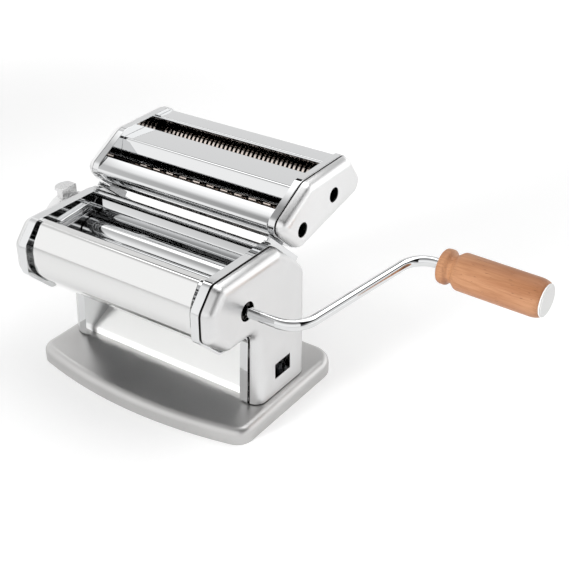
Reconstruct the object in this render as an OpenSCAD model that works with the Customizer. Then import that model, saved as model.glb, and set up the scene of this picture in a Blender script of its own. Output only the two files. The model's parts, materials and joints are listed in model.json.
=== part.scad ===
// Hand-cranked pasta machine with a lift-off cutter for two widths of noodle.
// Millimetres, +Z up, origin on the table under the middle of the base.
// +X is the crank side, -Y is the front, where the sheet of dough comes out.

/* [Base tray] */
// Width of the tray
base_w = 200; // [196:1:230]
// Depth of the tray, over the bowed front
base_d = 138; // [134:1:160]
// Height of the tray
base_h = 13; // [11:0.5:18]
// Wall of the tray
base_wall = 1.2; // [0.8:0.1:2]
// Rounding of the tray's rim
base_round = 6; // [4:0.5:8]
// Radius of the bowed front edge
base_bow_r = 368; // [320:1:500]
// Half the width of the bowed stretch
base_bow_half = 86; // [70:1:87]
// Radius of the front corners
base_front_r = 13; // [10:0.5:15]
// Radius of the rear corners
base_rear_r = 20; // [12:0.5:26]
// Radius of a rubber foot
foot_r = 9; // [6:0.5:11]
// Least room between a foot and a screw's head
foot_gap = 1; // [0.5:0.5:3]

/* [Side frames] */
// Clear width between the two frames
frame_gap = 152; // [140:1:154]
// Sheet of the frames
frame_t = 1.5; // [1:0.1:2]
// How far the frame's flange stands out
frame_flange = 5.2; // [5:0.1:6]
// Height of the roller axes above the base
axis_h = 88; // [84:1:100]
// Place of the front roller's axis, from the middle of the base
front_axis_y = -37; // [-40:0.5:-34]
// Body above the rollers
top_margin = 19; // [17:0.5:24]
// Body below the rollers
low_margin = 14; // [13:0.5:18]
// Body ahead of the front roller
nose_margin = 29; // [26:0.5:34]
// Depth of the nose's upper chamfer
nose_top_run = 14; // [10:0.5:18]
// Height of the nose's upper chamfer
nose_top_drop = 16; // [12:0.5:20]
// Depth of the nose's lower chamfer
nose_low_run = 21; // [16:0.5:25]
// Height of the nose's lower chamfer
nose_low_rise = 18.5; // [14:0.5:22]
// Frame's edge below the cover's, under the nose
nose_rim = 2.3; // [0:0.1:4]
// Front cover's bulge behind the nose of the frames
nose_back = 4; // [3:0.1:6]
// Open end of the bulge beside each frame
nose_end = 3.5; // [1:0.1:5]
// Front of the leg, behind the front roller's axis
leg_back = 9; // [7:0.5:12]
// Taper of the leg's front edge
leg_taper = 3; // [0:0.5:5]
// Rear of the leg, behind the rear roller's axis
leg_margin = 48.2; // [45:0.2:54]
// Rear end of the flat top, behind the rear roller's axis
peak_back = 16; // [14:0.5:18]
// Angle of the sloping back
slope_angle = 42; // [38:0.5:46]

/* [Covers and sheets] */
// Sheet of the side covers
cover_t = 1; // [0.8:0.1:1.4]
// Depth of a side cover, which is also its edge rounding
cover_depth = 9; // [8.5:0.5:11]
// Cover's edge inside the frame's edge
cover_inset = 1; // [0.6:0.1:2]
// Line between a cover and its frame
cover_line = 0.3; // [0.2:0.1:0.6]
// Sheet of the front and rear covers, the chute and the guards
sheet_t = 0.8; // [0.6:0.1:1.2]
// Bright sheets below the frames' edges
sheet_drop = 1.2; // [1:0.1:2]
// Hole for the crank in the right cover
crank_hole_d = 14.5; // [14.2:0.1:16]
// Width of the table clamp's socket in the right leg
clamp_w = 19; // [14:0.5:20]
// Height of the clamp's socket
clamp_h = 13; // [10:0.5:15]
// Height of the socket's middle above the base
clamp_up = 20; // [16:0.5:30]
// Height of the chute's upright lip
chute_lip = 5; // [3:0.5:8]
// Slope of the chute
chute_angle = 26; // [20:0.5:30]
// Length of the ribbed guide beside the dough
guide_len = 33; // [26:0.5:36]
// Height of the ribbed guide
guide_h = 8; // [6:0.5:10]
// How far its ribs stand out of the frame
guide_out = 3; // [2:0.1:5]
// Sheet of the ribbed guide
guide_t = 0.8; // [0.6:0.1:1.2]
// Tilt of the ribbed guide, rear end up
guide_tilt = 5; // [0:0.5:8]

/* [Flat rollers] */
// Radius of the flat rollers
roller_r = 12; // [11.6:0.1:13]
// Room at each end of a roller
roller_end = 1; // [0.6:0.1:1.5]
// Gap between the rollers, knob at its middle place
roll_gap = 1.3; // [1.2:0.05:1.6]
// How far the adjusting axle's middle is off its own axis
axle_throw = 1.15; // [0.8:0.05:1.2]
// Radius of the adjusting axle's thin stretch
axle_r = 2.8; // [2.5:0.1:3.2]
// Radius of the adjusting axle's two journals
axle_journal_r = 4.5; // [4.4:0.1:5.5]
// Radius of the front roller's journals
journal_r = 8; // [7.5:0.1:8.5]
// Wall of a roller bush
bush_wall = 2.5; // [2:0.1:3]
// Radius of the rear roller's bore
rear_bore_r = 6.5; // [6:0.1:6.8]
// Wall of the rear roller's hollow journal
rear_wall = 2; // [1.6:0.1:2.2]
// Teeth of a roller gear
gear_teeth = 14; // [12:2:16]
// Width of a gear
gear_w = 5; // [4:0.25:5.2]
// Play between the teeth of the roller gears
gear_play = 1.1; // [1:0.05:1.3]

/* [Crank and grip] */
// Radius of the crank's rod
rod_r = 4; // [3.5:0.1:4.5]
// Depth of the crank's socket
socket_depth = 17; // [14:0.5:20]
// Straight run of the rod outside the right cover
crank_out = 40.7; // [34:0.5:46]
// Length of the crank's arm, bend to bend
arm_len = 120; // [100:1:130]
// Lean of the arm away from the body
arm_lean = 11.5; // [6:0.5:14]
// Lift of the arm as it is photographed
arm_lift = 4.8; // [0:0.1:10]
// Tilt of the grip out of square
grip_tilt = 2.2; // [0:0.1:4]
// Radius of the rod's two bends
bend_r = 20; // [14:0.5:22]
// Start of the grip past the outer bend
grip_from = 21.5; // [19:0.5:28]
// Length of the grip
grip_len = 80; // [70:1:90]
// Diameter of the grip's barrel
grip_d = 28; // [24:0.5:32]
// Diameter of the grip's neck
neck_d = 20.5; // [18:0.5:22]
// Diameter of the collar at the rod's end
collar_d = 26; // [23:0.5:28]
// Thickness of the grip's end cap
cap_t = 1.6; // [1:0.1:2.5]
// Radius of the crank's cross pin
pin_r = 1.2; // [1:0.05:1.4]

/* [Adjusting knob] */
// Radius of the knob at the body
knob_r = 25.5; // [25:0.5:28]
// Radius of the knob's outer edge
knob_top_r = 24.5; // [22:0.5:25]
// Depth of the knob's round body
knob_skirt = 10.8; // [10.4:0.1:11.4]
// Half the height of the knob's wing
wing_half = 31.3; // [29:0.1:34]
// Width of the wing
wing_w = 15; // [13:0.5:17]
// How far the wing stands out
wing_out = 12; // [11.6:0.1:14]
// Thickness of the leaf at each end of the wing
leaf_t = 2.4; // [2:0.1:3]
// How far the leaf reaches past the wing
leaf_over = 5.5; // [4:0.5:6]
// Thickness of the dial plate
dial_t = 1.8; // [1.6:0.1:2.5]
// Travel of the knob when it is pulled
knob_travel = 4; // [3:0.25:5]
// Turn of the knob to either side
knob_turn = 60; // [40:1:64]

/* [Cutter] */
// Clear width between the cutter's frames
cutter_gap = 158; // [156:0.5:158.4]
// How far the cutter frame's flange stands out
cutter_flange = 4; // [3.5:0.1:5]
// Depth of a cutter cover, which is also its edge rounding
cutter_depth = 8; // [7.5:0.25:9]
// Wide cutter's first axis, behind the end of the flat top
cut_back = 23.3; // [21:0.25:26]
// Wide cutter's first axis, above the flat top
cut_up = 3.6; // [2:0.2:6]
// Step from the wide cutter to the narrow one
cut_step = 41.8; // [40:0.2:46]
// Slope of the line of the two driven axes
cut_slope = 15.6; // [13:0.2:17]
// Slope of the line through a pair of cutters
pair_slope = 3; // [0:0.5:6]
// Outer radius of the cutting rings
ring_r = 9.5; // [9:0.1:10]
// How deep the rings of a pair reach past each other
ring_deep = 1.8; // [1.4:0.1:2]
// Pitch of the wide rings
wide_pitch = 13; // [10:0.25:16]
// Pitch of the narrow rings
narrow_pitch = 4; // [3.4:0.1:5]
// Side play between neighbouring rings
ring_play = 0.2; // [0.15:0.01:0.3]
// Radius of the cutter journals
cut_journal_r = 6; // [5.6:0.1:6.4]
// Teeth of a cutter gear
cut_teeth = 19; // [17:2:21]
// Holes for the crank in the right cutter cover
cut_hole_d = 11.4; // [10:0.1:13]
// Height of the cutter over its rings
cut_over = 12; // [11:0.5:14]
// Height of the cutter under its rings
cut_under = 4.2; // [3.6:0.2:6]
// Depth of the cutter behind its rings
cut_behind = 14.5; // [13:0.5:17]
// Depth of the cutter ahead of its rings
cut_ahead = 18; // [17:0.5:20]
// Width of the wide cutter's inlet
wide_inlet = 16.5; // [12:0.5:18]
// Width of the narrow cutter's inlet
narrow_inlet = 15.4; // [13:0.2:17]
// Drop of the rear guard's level top under the frames' corner
rear_sink = 1.6; // [1:0.1:2.4]
// Depth of the lip on the rear guard's front edge
rear_lip = 2.6; // [2:0.2:6]
// Depth of the top between the cutters, over its sloping front
mid_depth = 29.4; // [24:0.2:31]
// Lean of the sloping front
mid_lean = 14; // [8:1:24]
// Length of the sloping front
mid_wall = 11.7; // [9:0.1:13]
// How far the sloping front reaches down over the wide rings
mid_skirt = 3.6; // [2:0.2:4]

/* [Rails] */
// Height of the rail over the sloping back
rail_h = 3.8; // [3.6:0.1:4.6]
// Width of the rail's section
rail_w = 4.6; // [4.2:0.1:4.8]
// Sheet of the rail
rail_t = 0.8; // [0.6:0.05:0.9]
// Length of the rail down the slope
rail_len = 46; // [40:0.5:50]
// Start of the cutter's runner down the slope, behind the front guard's flange
runner_from = 6.5; // [6:0.5:9]
// Length of the cutter's runner
runner_len = 20.5; // [14:0.5:22]

/* [Rods, screws and fits] */
// Radius of the tie rods
tie_r = 2.5; // [2.3:0.1:3]
// Radius of the threaded ends
thread_r = 1.6; // [1.4:0.1:1.8]
// Radius of a base screw
screw_r = 2; // [1.6:0.1:2.2]
// Radial running clearance of a shaft in its bush
run_gap = 0.06; // [0.04:0.01:0.08]
// Radial clearance of a bush in its plate
seat_gap = 0.06; // [0.04:0.01:0.1]
// Clearance of parts that slide past each other
slide_gap = 0.4; // [0.35:0.05:0.5]

/* [Hidden] */
$fn = 64;

SATIN = [0.72, 0.72, 0.71];
BRIGHT = [0.86, 0.87, 0.88];
STEEL = [0.6, 0.61, 0.63];
BRONZE = [0.8, 0.72, 0.56];
BLACK = [0.1, 0.1, 0.1];
WOOD = [0.82, 0.62, 0.38];
WHITE = [0.93, 0.92, 0.9];

eps = 0.01;

// Body, seen from the side as [y, z]
roller_z = base_h + axis_h;
rear_y = front_axis_y + 2 * roller_r + roll_gap;
top_z = roller_z + roller_r + top_margin;
nose_z = roller_z - roller_r - low_margin;
nose_y = front_axis_y - roller_r - nose_margin;
leg_front_y = front_axis_y + leg_back;
leg_rear_y = rear_y + leg_margin;
peak_y = rear_y + peak_back;
slope_z = top_z - (leg_rear_y - peak_y) * tan(slope_angle);
slope_dir = [cos(slope_angle), -sin(slope_angle)];
slope_out = [sin(slope_angle), cos(slope_angle)];
frame_x = frame_gap / 2;
frame_out = frame_x + frame_flange + frame_t;
cover_in = frame_out + cover_line;
cover_out = cover_in + cover_depth;
roller_x = frame_x - roller_end;
side_outline = [
  [leg_front_y, base_h, 3.5],
  [leg_rear_y, base_h, 3.5],
  [leg_rear_y, slope_z, 8],
  [peak_y, top_z, 6],
  [nose_y + nose_top_run, top_z, 6],
  [nose_y, top_z - nose_top_drop, 8],
  [nose_y, nose_z + nose_low_rise, 8],
  [nose_y + nose_low_run, nose_z, 8],
  [leg_front_y + leg_taper, nose_z, 8]];

// The frame reaches lower than the cover under the nose
frame_outline = [for (p = side_outline) [p[0], p[1] == nose_z ? nose_z - nose_rim : p[1], p[2]]];

// Roller gears and their bridge
gear_pitch_r = roller_r + roll_gap / 2;
gear_module = 2 * gear_pitch_r / gear_teeth;
gear_x = frame_x + frame_t + 1.7;
bridge_x = gear_x + gear_w + 0.8;
bridge_t = 1.5;
post_rise = roller_r + 2;
nip_y = (front_axis_y + rear_y) / 2;
axle_z = roller_z + axle_throw;
socket_end = cover_out - cover_t - 1.2;
pin_x = socket_end - 2.6;
slot_w = 2 * pin_r + 0.6;

// Tie rods between the frames, as [y, z]
ties = [
  [peak_y - 0.5, top_z - 13],
  [leg_front_y + 36, base_h + 8],
  [leg_rear_y - 9, base_h + 12]];

// Cutter, seen from the side as [y, z]
cut_c = 2 * ring_r - ring_deep;
cut_dir = [cos(cut_slope), sin(cut_slope)];
pair_dir = [cos(pair_slope), sin(pair_slope)];
wide_a = [peak_y + cut_back, top_z + cut_up];
wide_b = wide_a + cut_c * pair_dir;
narrow_a = wide_a + cut_step * cut_dir;
narrow_b = narrow_a + cut_c * pair_dir;
core_r = cut_c - ring_r - 0.3;
cut_x = cutter_gap / 2;
cut_frame_out = cut_x + cutter_flange + frame_t;
cut_cover_in = cut_frame_out + cover_line;
cut_cover_out = cut_cover_in + cutter_depth;
cut_top = narrow_a[1] + ring_r + cut_over;
cut_rear = narrow_b[0] + ring_r + cut_behind;
cut_seat = rail_h + 1.4;
cut_front = [wide_a[0] - ring_r - cut_ahead, top_z + 14];
cut_low_front = slope_point(0.2, cut_seat);
cut_low = slope_point(27.4, cut_seat);
cut_outline = [
  [cut_low[0], cut_low[1], 9],
  [cut_rear - 6, narrow_b[1] - ring_r - cut_under, 8.5],
  [cut_rear, narrow_b[1] - 1.8, 8.5],
  [cut_rear - 16.5, cut_top, 8.5],
  [wide_a[0] + 10, cut_top - 1.3, 14],
  [cut_front[0], cut_front[1], 8.5],
  [cut_low_front[0], cut_low_front[1], 8.5]];
cut_ties = [
  [cut_front[0] + 12, cut_front[1] - 3],
  [narrow_b[0] + ring_r + 5, narrow_b[1] - 6]];
socket_in = cut_cover_out - cover_t - 1.2;

// A place on the sloping back: s along it from its top, h out of it
function slope_point(s, h) = [peak_y, top_z] + s * slope_dir + h * slope_out;

// Rounded outlines, as lists of [x, y, corner radius], anticlockwise
function xy(p) = [p[0], p[1]];
function unit(v) = v / norm(v);
function left(d) = [-d[1], d[0]];
function heading(d) = atan2(d[1], d[0]);
function before(o, i) = xy(o[(i + len(o) - 1) % len(o)]);
function after(o, i) = xy(o[(i + 1) % len(o)]);
function dir_in(o, i) = unit(xy(o[i]) - before(o, i));
function dir_out(o, i) = unit(after(o, i) - xy(o[i]));
function turn_of(a, b) = atan2(a[0] * b[1] - a[1] * b[0], a[0] * b[0] + a[1] * b[1]);
function turn(o, i) = turn_of(dir_in(o, i), dir_out(o, i));
function tangent(o, i) = o[i][2] * tan(abs(turn(o, i)) / 2);
function arc_start(o, i) = xy(o[i]) - tangent(o, i) * dir_in(o, i);
function arc_end(o, i) = xy(o[i]) + tangent(o, i) * dir_out(o, i);
function arc_centre(o, i) = arc_start(o, i) + sign(turn(o, i)) * o[i][2] * left(dir_in(o, i));
function inset_corner(o, i, d) =
  let (a = left(dir_in(o, i)), b = left(dir_out(o, i)))
  xy(o[i]) + d * (a + b) / (1 + a * b);
function inset(o, d, least) = [for (i = [0 : len(o) - 1])
  let (p = inset_corner(o, i, d), r = o[i][2] - sign(turn(o, i)) * d)
  [p[0], p[1], max(r, least)]];

// Points of an outline, drawn in by d, with its corners in short steps
function corner_steps(o, i) = let (a = abs(turn(o, i)))
  max(2, ceil(a / 10), ceil(a * PI / 180 * o[i][2] / 12));
function ring_points(o, d) = [for (i = [0 : len(o) - 1]) let (
    a = turn(o, i), n = corner_steps(o, i), r = o[i][2] - sign(a) * d,
    first = heading(dir_in(o, i)) - sign(a) * 90, c = arc_centre(o, i))
  for (k = [0 : n]) c + r * [cos(first + a * k / n), sin(first + a * k / n)]];

// A folded dish: open at z = 0, floor at z = depth, sharp edges
module folded_dish(o, depth, t) {
  difference() {
    linear_extrude(depth) polygon(ring_points(o, 0));
    translate([0, 0, -1]) linear_extrude(depth - t + 1) polygon(ring_points(o, t));
  }
}

// A pressed dish: open at z = 0, floor at z = depth, edge rounded
function edge_arc(round, top, r, steps) = [for (k = [0 : steps])
  [round - r * cos(90 * k / steps), top - round + r * sin(90 * k / steps)]];
function edge_section(depth, t, round, steps) = concat(
  depth > round ? [[0, 0]] : [], edge_arc(round, depth, round, steps),
  [for (k = [steps : -1 : 0]) edge_arc(round, depth, round - t, steps)[k]],
  depth > round ? [[t, 0]] : []);
module pressed_dish(o, depth, t, round) {
  section = edge_section(depth, t, round, 6);
  m = len(section);
  n = len(ring_points(o, 0));
  polyhedron(
    points = [for (s = section) for (p = ring_points(o, s[0])) [p[0], p[1], s[1]]],
    faces = [for (j = [0 : m - 1], i = [0 : n - 1]) let (j2 = (j + 1) % m, i2 = (i + 1) % n)
      [j * n + i, j2 * n + i, j2 * n + i2, j * n + i2]]);
  translate([0, 0, depth - t]) linear_extrude(t) polygon(ring_points(o, round));
}

// Turn a side view, x to the rear and y up, so that z points to +X
module side() {
  rotate([90, 0, 90]) children();
}
module at_side(x, p) {
  translate([x, p[0], p[1]]) rotate([0, 90, 0]) children();
}

// One side of a strip bent along a path of [y, z, bend radius], h to the left of the path
function bend_steps(path, i) = max(2, ceil(abs(turn(path, i)) / (path[i][2] > 10 ? 5 : 10)));
function strip_side(path, h) = let (last = len(path) - 1) [for (i = [0 : last]) each
  i == 0 ? [xy(path[0]) + h * left(dir_out(path, 0))] :
  i == last ? [xy(path[last]) + h * left(dir_in(path, last))] :
  let (a = turn(path, i), n = bend_steps(path, i), r = path[i][2] - sign(a) * h,
    first = heading(dir_in(path, i)) - sign(a) * 90, c = arc_centre(path, i))
  [for (k = [0 : n]) c + r * [cos(first + a * k / n), sin(first + a * k / n)]]];
// The strip itself, from x0 to x1
module bent_sheet(path, t, x0, x1) {
  near = strip_side(path, -t / 2);
  far = strip_side(path, t / 2);
  translate([x0, 0, 0]) side() linear_extrude(x1 - x0)
    polygon(concat(near, [for (i = [len(far) - 1 : -1 : 0]) far[i]]));
}

// A round rod bent in the XY plane along a path of [x, y, bend radius].
// Its bends swell by a hair, so that each straight stretch ends inside them.
module bent_rod(path, r) {
  n = len(path);
  lap = 1;
  function cut(i) = i == 0 || i == n - 1 ? 0 : tangent(path, i) - lap;
  for (i = [0 : n - 2]) {
    d = dir_out(path, i);
    from = xy(path[i]) + cut(i) * d;
    to = xy(path[i + 1]) - cut(i + 1) * d;
    translate([from[0], from[1], 0]) rotate([0, 90, heading(d)]) cylinder(h = norm(to - from), r = r);
  }
  for (i = [1 : n - 2]) {
    c = arc_centre(path, i);
    a = turn(path, i);
    first = a > 0 ? heading(dir_in(path, i)) - 90 : heading(dir_in(path, i)) + 90 + a;
    translate([c[0], c[1], 0]) rotate([0, 0, first])
      rotate_extrude(angle = abs(a)) translate([path[i][2], 0]) circle(r + 0.06);
  }
}

// Involute gear outline with its first tooth along +x
function involute(a) = tan(a) * 180 / PI - a;
module gear_shape(teeth, m, play) {
  rp = teeth * m / 2;
  rb = rp * cos(20);
  ra = rp + 0.9 * m;
  rf = rp - 1.4 * m - play / 4;
  half = 90 / teeth - play / 4 / rp * 180 / PI;
  function flank(r) = half + involute(20) - involute(acos(min(1, rb / r)));
  steps = [rf, max(rf + 0.1, rb), (rb + rp) / 2, rp, (rp + ra) / 2, ra];
  polygon([for (k = [0 : teeth - 1]) each [
    for (i = [0 : 5]) let (a = k * 360 / teeth - flank(steps[i])) steps[i] * [cos(a), sin(a)],
    for (i = [5 : -1 : 0]) let (a = k * 360 / teeth + flank(steps[i])) steps[i] * [cos(a), sin(a)]]]);
}

// Plain round pieces along X, at a place of the side view
module round_x(p, x0, x1, r) {
  at_side(x0, p) cylinder(h = x1 - x0, r = r);
}
module tube_x(p, x0, x1, r, bore) {
  at_side(x0, p) difference() {
    cylinder(h = x1 - x0, r = r);
    translate([0, 0, -1]) cylinder(h = x1 - x0 + 2, r = bore);
  }
}
module to_left() {
  mirror([1, 0, 0]) children();
}

// Base tray
bow = asin(base_bow_half / base_bow_r);
bow_tip = -base_d / 2 - base_bow_r * (1 / cos(bow) - 1);
bow_corner = bow_tip + base_w / 2 * tan(bow);
base_outline = [
  [0, bow_tip, base_bow_r],
  [base_w / 2, bow_corner, base_front_r],
  [base_w / 2, base_d / 2, base_rear_r],
  [-base_w / 2, base_d / 2, base_rear_r],
  [-base_w / 2, bow_corner, base_front_r]];
screw_y = [leg_front_y + 10, leg_rear_y - 10];
screw_x = frame_out - 2.6;
head_h = 2.2;
module base_plate() {
  color(SATIN) difference() {
    pressed_dish(base_outline, base_h, base_wall, base_round);
    for (x = [-screw_x, screw_x], y = screw_y)
      translate([x, y, base_h / 2]) cylinder(h = base_h, r = screw_r + 0.1);
  }
}
module base_feet() {
  x = base_w / 2 - base_round - foot_r - 5;
  clear = 2 * screw_r + foot_r + foot_gap;
  front_y = min(bow_corner + foot_r + 12, screw_y[0] - clear);
  back_y = max(base_d / 2 - base_round - foot_r - 8, screw_y[1] + clear);
  color(BLACK) for (sx = [-x, x], y = [front_y, back_y])
    translate([sx, y, 0]) cylinder(h = base_h - base_wall, r = foot_r);
}
module base_screws() {
  color(STEEL) for (x = [-screw_x, screw_x], y = screw_y) translate([x, y, 0]) {
    translate([0, 0, base_h - base_wall - head_h]) cylinder(h = head_h, r = 2 * screw_r);
    translate([0, 0, base_h - base_wall - eps]) cylinder(h = base_wall + frame_t + 2.5, r = screw_r);
  }
}

// Side frames, turned out all round
module frame_blank() {
  difference() {
    translate([frame_out, 0, 0]) to_left() side()
      folded_dish(frame_outline, frame_flange + frame_t, frame_t);
    for (p = ties) round_x(p, frame_x - 1, frame_out, thread_r + 0.15);
    for (y = screw_y) translate([screw_x, y, base_h - 1]) cylinder(h = frame_t + 2, r = screw_r);
    round_x([front_axis_y, roller_z], frame_x - 1, frame_out, journal_r + bush_wall + seat_gap);
    for (p = spacers) round_x(p, frame_x - 1, frame_x + frame_t + 1, thread_r);
  }
}
module left_frame() {
  color(BRIGHT) difference() {
    to_left() frame_blank();
    round_x([rear_y, axle_z], -frame_out, -frame_x + 1, axle_journal_r + bush_wall + seat_gap);
  }
}
module right_frame() {
  color(BRIGHT) difference() {
    frame_blank();
    round_x([rear_y, roller_z], frame_x - 1, frame_out, rear_bore_r + rear_wall + axle_throw + 0.6);
    for (s = [-1, 1]) round_x([nip_y, roller_z + s * post_rise], frame_x - 1, frame_out, thread_r);
  }
}

// Side covers
clamp_y = (leg_front_y + leg_rear_y) / 2;
clamp_z = base_h + clamp_up;
spacers = [[clamp_y + clamp_w / 2 + 5, clamp_z + 2], [clamp_y - clamp_w / 2 - 9, clamp_z + 22]];
module cover_blank() {
  low = base_h - 3 * cover_depth;
  o = [for (p = side_outline) [p[0], p[1] == base_h ? low : p[1], p[2]]];
  difference() {
    translate([cover_in, 0, 0]) side()
      pressed_dish(inset(o, cover_inset, cover_depth + 0.6), cover_depth, cover_t, cover_depth);
    translate([0, 2 * nose_y, low - 2 * cover_depth])
      cube([base_w, 4 * abs(nose_y), 5 * cover_depth + 0.05]);
  }
}
module left_cover() {
  color(SATIN) difference() {
    to_left() cover_blank();
    round_x([rear_y, axle_z], -cover_out - 1, -cover_in, axle_journal_r + 1);
  }
}
module right_cover() {
  color(SATIN) difference() {
    cover_blank();
    round_x([front_axis_y, roller_z], cover_in, cover_out + 1, crank_hole_d / 2);
    translate([cover_in, clamp_y - clamp_w / 2, clamp_z - clamp_h / 2])
      cube([cover_depth + 1, clamp_w, clamp_h]);
  }
}
module leg_spacers() {
  color(BRIGHT) for (p = spacers) {
    spacer(p);
    to_left() spacer(p);
  }
}
module spacer(p) {
  round_x(p, frame_x + frame_t, cover_out - cover_t, tie_r);
  round_x(p, frame_x + 0.2, frame_x + frame_t + eps, thread_r);
}

// Bright sheets between the frames
front_path = let (d = sheet_drop + sheet_t / 2) [
  [nose_y + nose_top_run + 7.5, top_z - d, 1],
  [nose_y + nose_top_run + 0.5, top_z - d, 4],
  [nose_y + nose_back, top_z - nose_top_drop, 22],
  [nose_y + nose_back, nose_z + nose_low_rise + 1, 22],
  [nose_y + nose_low_run + 0.4, nose_z + d, 10],
  [nose_y + nose_low_run + 12, nose_z + d, 1]];
module front_cover() {
  lip_y = front_path[0][0] - 4;
  flange_y = front_path[len(front_path) - 1][0] - 5;
  color(BRIGHT) difference() {
    bent_sheet(front_path, sheet_t, -frame_x, frame_x);
    for (x = [-frame_x - 1, frame_x - nose_end]) translate([x, 0, 0]) side() linear_extrude(nose_end + 1)
      polygon([[nose_y - 5, nose_z - 5], [flange_y, nose_z - 5], [flange_y, roller_z], [lip_y, roller_z],
        [lip_y, top_z + 5], [nose_y - 5, top_z + 5]]);
  }
}
rear_path = let (d = sheet_drop + sheet_t / 2, a = slope_point(0, -d), b = [leg_rear_y - d, slope_z - d / 2]) [
  [peak_y - 3.4, top_z - 6, 1],
  [peak_y - 7.6, top_z - d, 1.2],
  [a[0] - d / 2, top_z - d, 4],
  [b[0], b[1], 6],
  [b[0], base_h + 38, 1]];
module rear_cover() {
  color(BRIGHT) bent_sheet(rear_path, sheet_t, -frame_x, frame_x);
}
// Upright sheet behind the rear roller, with a turned-back top
module rear_guide() {
  color(BRIGHT) bent_sheet([
    [rear_y + 7.2, roller_z + roller_r + 0.5, 1],
    [rear_y + 5.7, roller_z + roller_r + 9, 1.5],
    [rear_y + 10.2, roller_z + roller_r + 13, 1]], sheet_t, -frame_x, frame_x);
}
// Ribbed guide on each frame, beside the sheet of dough
module dough_guide() {
  translate([frame_x, nip_y - 2.5, roller_z + roller_r + 8.5]) rotate([guide_tilt, 0, 0]) {
    translate([-guide_t, -guide_len / 2, -guide_h / 2]) cube([guide_t, guide_len, guide_h]);
    for (z = [-guide_h / 2, -0.6, guide_h / 2 - 1.2])
      translate([-guide_out, -guide_len / 2, z]) cube([guide_out, guide_len, 1.2]);
  }
}
module dough_guides() {
  color(BRIGHT) {
    dough_guide();
    to_left() dough_guide();
  }
}
chute_y = leg_front_y + 9.4;
chute_end = leg_rear_y - 4;
chute_path = [
  [chute_y, base_h, 1],
  [chute_y, base_h + chute_lip, 1.4],
  [chute_end, base_h + chute_lip + (chute_end - chute_y) * tan(chute_angle), 1]];
module pasta_chute() {
  color(BRIGHT) bent_sheet(chute_path, sheet_t, -frame_x, frame_x);
}

// Scrapers: a blade close under each roller
module front_scraper() {
  gap = roller_r + 0.8;
  tip = [front_axis_y + gap * cos(250), roller_z + gap * sin(250)];
  seat = nose_z + sheet_drop + 1.5 * sheet_t;
  color(STEEL) bent_sheet([
    [tip[0], tip[1], 1],
    [nose_y + nose_low_run + 10, seat, 1.2],
    [nose_y + nose_low_run + 6, seat, 1]], sheet_t, -frame_x, frame_x);
}
module rear_scraper() {
  gap = roller_r + axle_throw + 1;
  tip = [rear_y + gap * cos(290), roller_z + gap * sin(290)];
  color(STEEL) bent_sheet([
    [tip[0], tip[1], 1],
    [tip[0] + 4, tip[1] - 8, 1.2],
    [leg_rear_y - sheet_drop - sheet_t, tip[1] - 8, 1]], sheet_t, -frame_x, frame_x);
}

// Tie rods and nuts
nut_h = 2.4;
module tie(p, x, plate) {
  round_x(p, -x, x, tie_r);
  round_x(p, -x - plate - nut_h - 0.4, x + plate + nut_h + 0.4, thread_r);
}
module nut(p, x) {
  at_side(x, p) difference() {
    cylinder(h = nut_h, r = 2 * thread_r, $fn = 6);
    translate([0, 0, -1]) cylinder(h = nut_h + 2, r = thread_r);
  }
}
module tie_rods() {
  color(STEEL) for (p = ties) tie(p, frame_x, frame_t);
}
module tie_nuts() {
  color(STEEL) for (p = ties) {
    nut(p, frame_x + frame_t);
    to_left() nut(p, frame_x + frame_t);
  }
}

// Bushes and the bridge that carries the adjusting axle's far end
module bush(p, x, r, wall) {
  tube_x(p, x, x + frame_t + 1, r + wall, r + run_gap);
  tube_x(p, x + frame_t, x + frame_t + 1, r + wall + 1.2, r + run_gap);
}
module front_bushes() {
  p = [front_axis_y, roller_z];
  color(BRONZE) {
    bush(p, frame_x, journal_r, bush_wall);
    to_left() bush(p, frame_x, journal_r, bush_wall);
  }
}
module axle_bush() {
  color(BRONZE) to_left() bush([rear_y, axle_z], frame_x, axle_journal_r, bush_wall);
}
module gear_bridge() {
  up = [nip_y, roller_z + post_rise];
  down = [nip_y, roller_z - post_rise];
  hub = [rear_y, axle_z];
  hub_r = axle_journal_r + 3;
  color(STEEL) {
    difference() {
      translate([bridge_x, 0, 0]) side() linear_extrude(bridge_t) {
        for (p = [up, down]) translate(p) circle(4.5);
        translate(hub) circle(hub_r);
        polygon([up - [3, 0], down - [3, 0], down + [4, 0], hub + [2, -hub_r + 1], hub + [2, hub_r - 1],
          up + [4, 0]]);
      }
      round_x(hub, bridge_x - 1, bridge_x + bridge_t + 1, axle_journal_r + run_gap);
    }
    for (p = [up, down]) {
      round_x(p, frame_x + frame_t, bridge_x + eps, tie_r);
      round_x(p, frame_x + 0.2, frame_x + frame_t + eps, thread_r);
    }
  }
}

// Rails on the sloping back, open towards the middle of the machine
module on_slope(s) {
  p = slope_point(s, 0);
  translate([0, p[0], p[1]]) rotate([-slope_angle, 0, 0]) rotate([90, 0, 180]) mirror([1, 0, 0]) children();
}
rail_x = frame_x + rail_w;
module rail() {
  on_slope(-1) linear_extrude(rail_len) polygon([
    [frame_x, 0], [rail_x, 0], [rail_x, rail_h], [frame_x, rail_h], [frame_x, rail_h - rail_t],
    [rail_x - 1.2, rail_h - rail_t], [rail_x - 1.2, rail_t], [frame_x, rail_t]]);
}
module right_rail() {
  color(BRIGHT) rail();
}
module left_rail() {
  color(BRIGHT) to_left() rail();
}

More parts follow.
